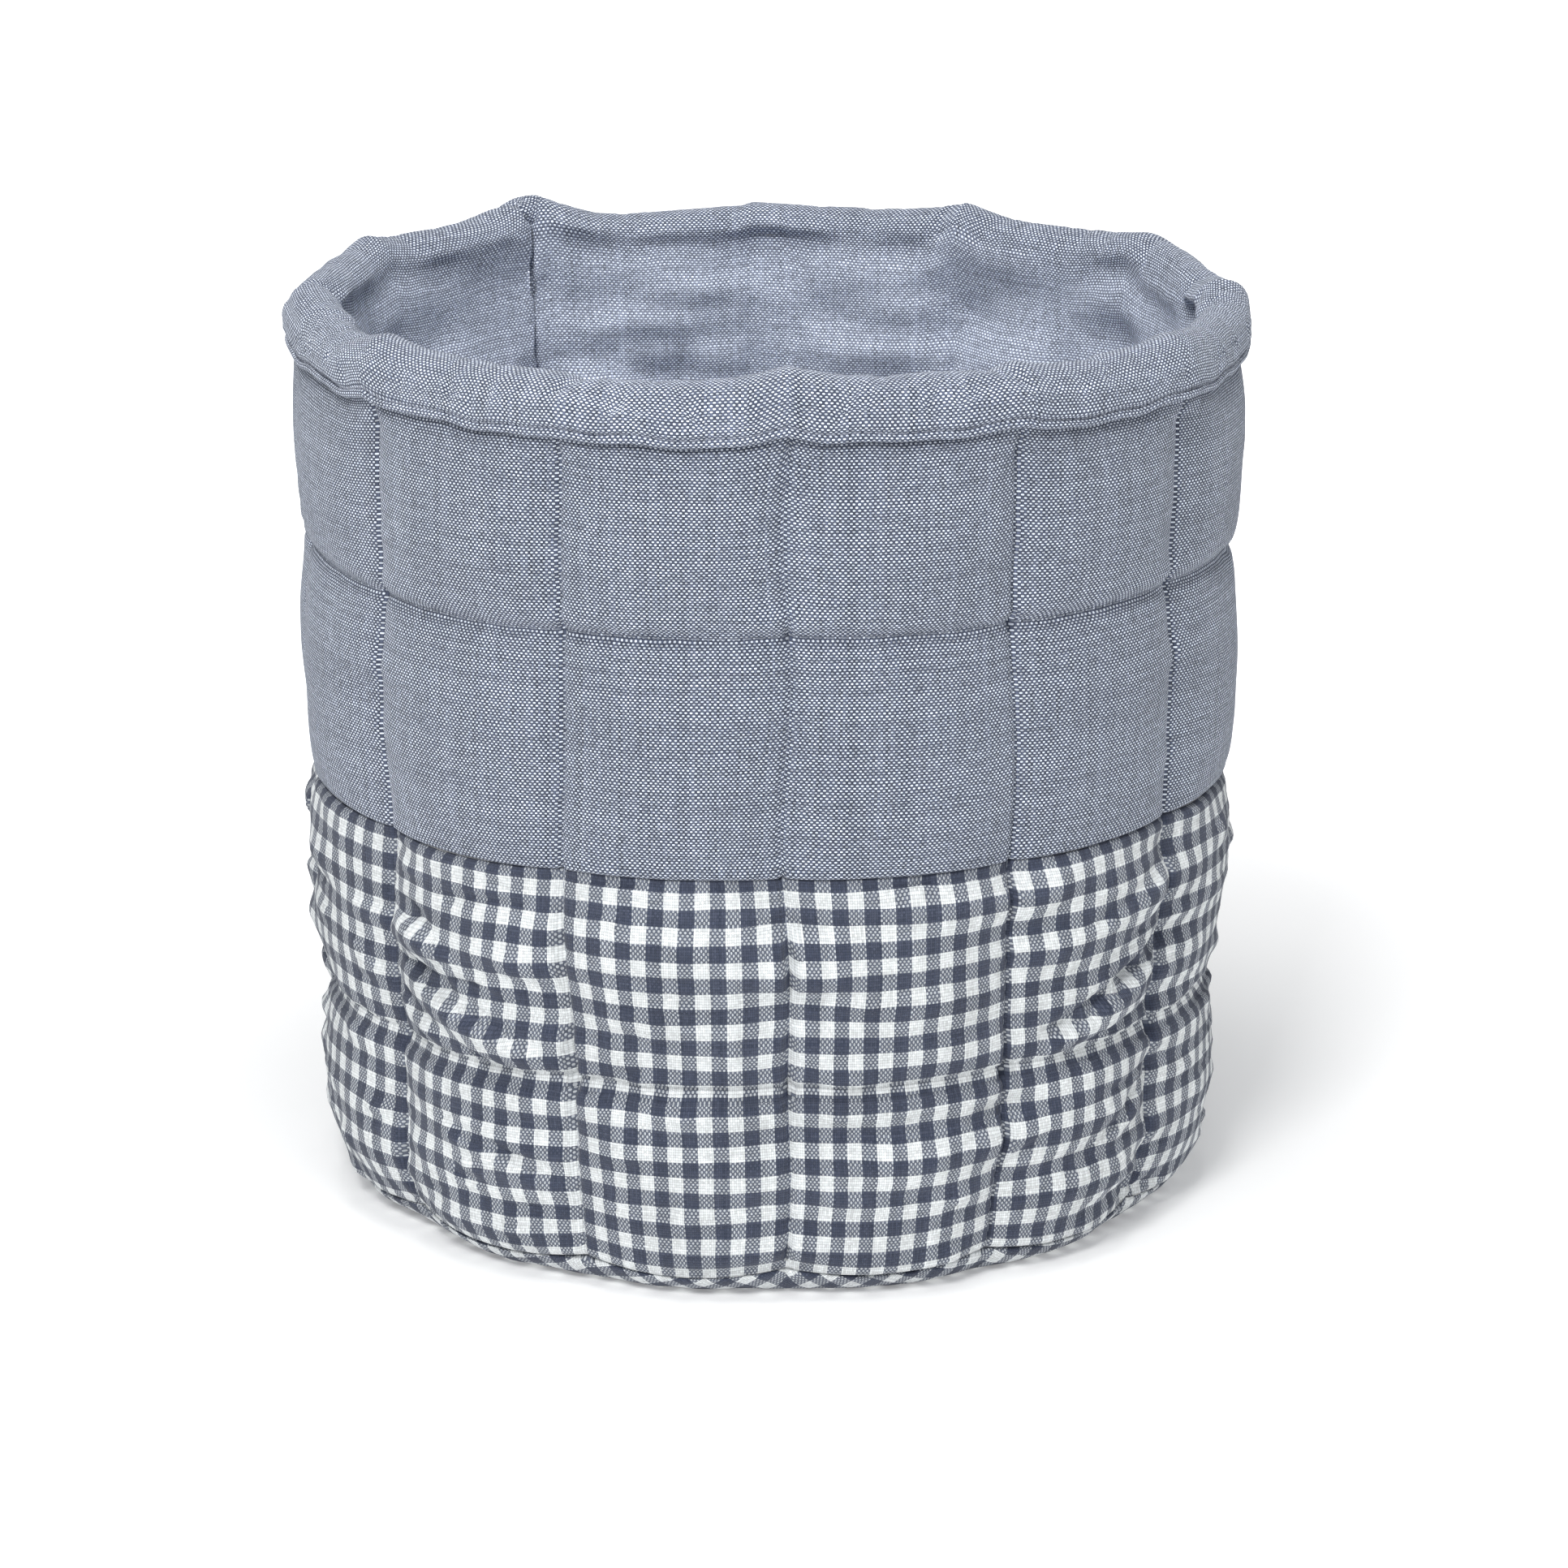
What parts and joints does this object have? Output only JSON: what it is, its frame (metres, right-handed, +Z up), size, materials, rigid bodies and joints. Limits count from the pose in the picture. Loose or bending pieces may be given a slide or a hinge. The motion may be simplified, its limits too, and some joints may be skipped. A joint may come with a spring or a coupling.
{
  "type": "sewing basket",
  "caption": "Open-topped round storage basket of quilted cloth: padded drum with a chambray top band, gingham lower band and base, chambray lining rolled over the mouth as a hemmed rim",
  "frame": {"origin": "centre of the base, on the surface the basket stands on", "axes": "+Z up out of the open mouth, -Y the front, +X the right side seen from the front"},
  "size_m": [0.2286, 0.2286, 0.2159],
  "materials": {
    "chambray": "plain-weave blue-grey chambray, matte",
    "gingham": "plain-weave small-check gingham in slate and white, matte",
    "lining_chambray": "plain-weave blue-grey chambray, matte",
    "batting": "loose polyester wadding",
    "thread": "plied sewing thread"
  },
  "bodies": {
    "root": {"outer_upper_panel": "chambray", "outer_lower_panel": "gingham", "outer_base_panel": "gingham", "wall_batting": "batting", "base_batting": "batting", "lining_wall_panel": "lining_chambray", "lining_base_panel": "lining_chambray", "upright_quilting_thread": "thread", "level_quilting_thread_upper": "thread", "level_quilting_thread_lower": "thread", "hem_topstitch_thread": "thread", "panel_seam_thread": "thread", "side_seam_thread": "thread", "base_seam_thread": "thread", "lining_side_seam_thread": "thread", "lining_base_seam_thread": "thread", "base_quilting_thread": "thread"}
  },
  "joints": []
}
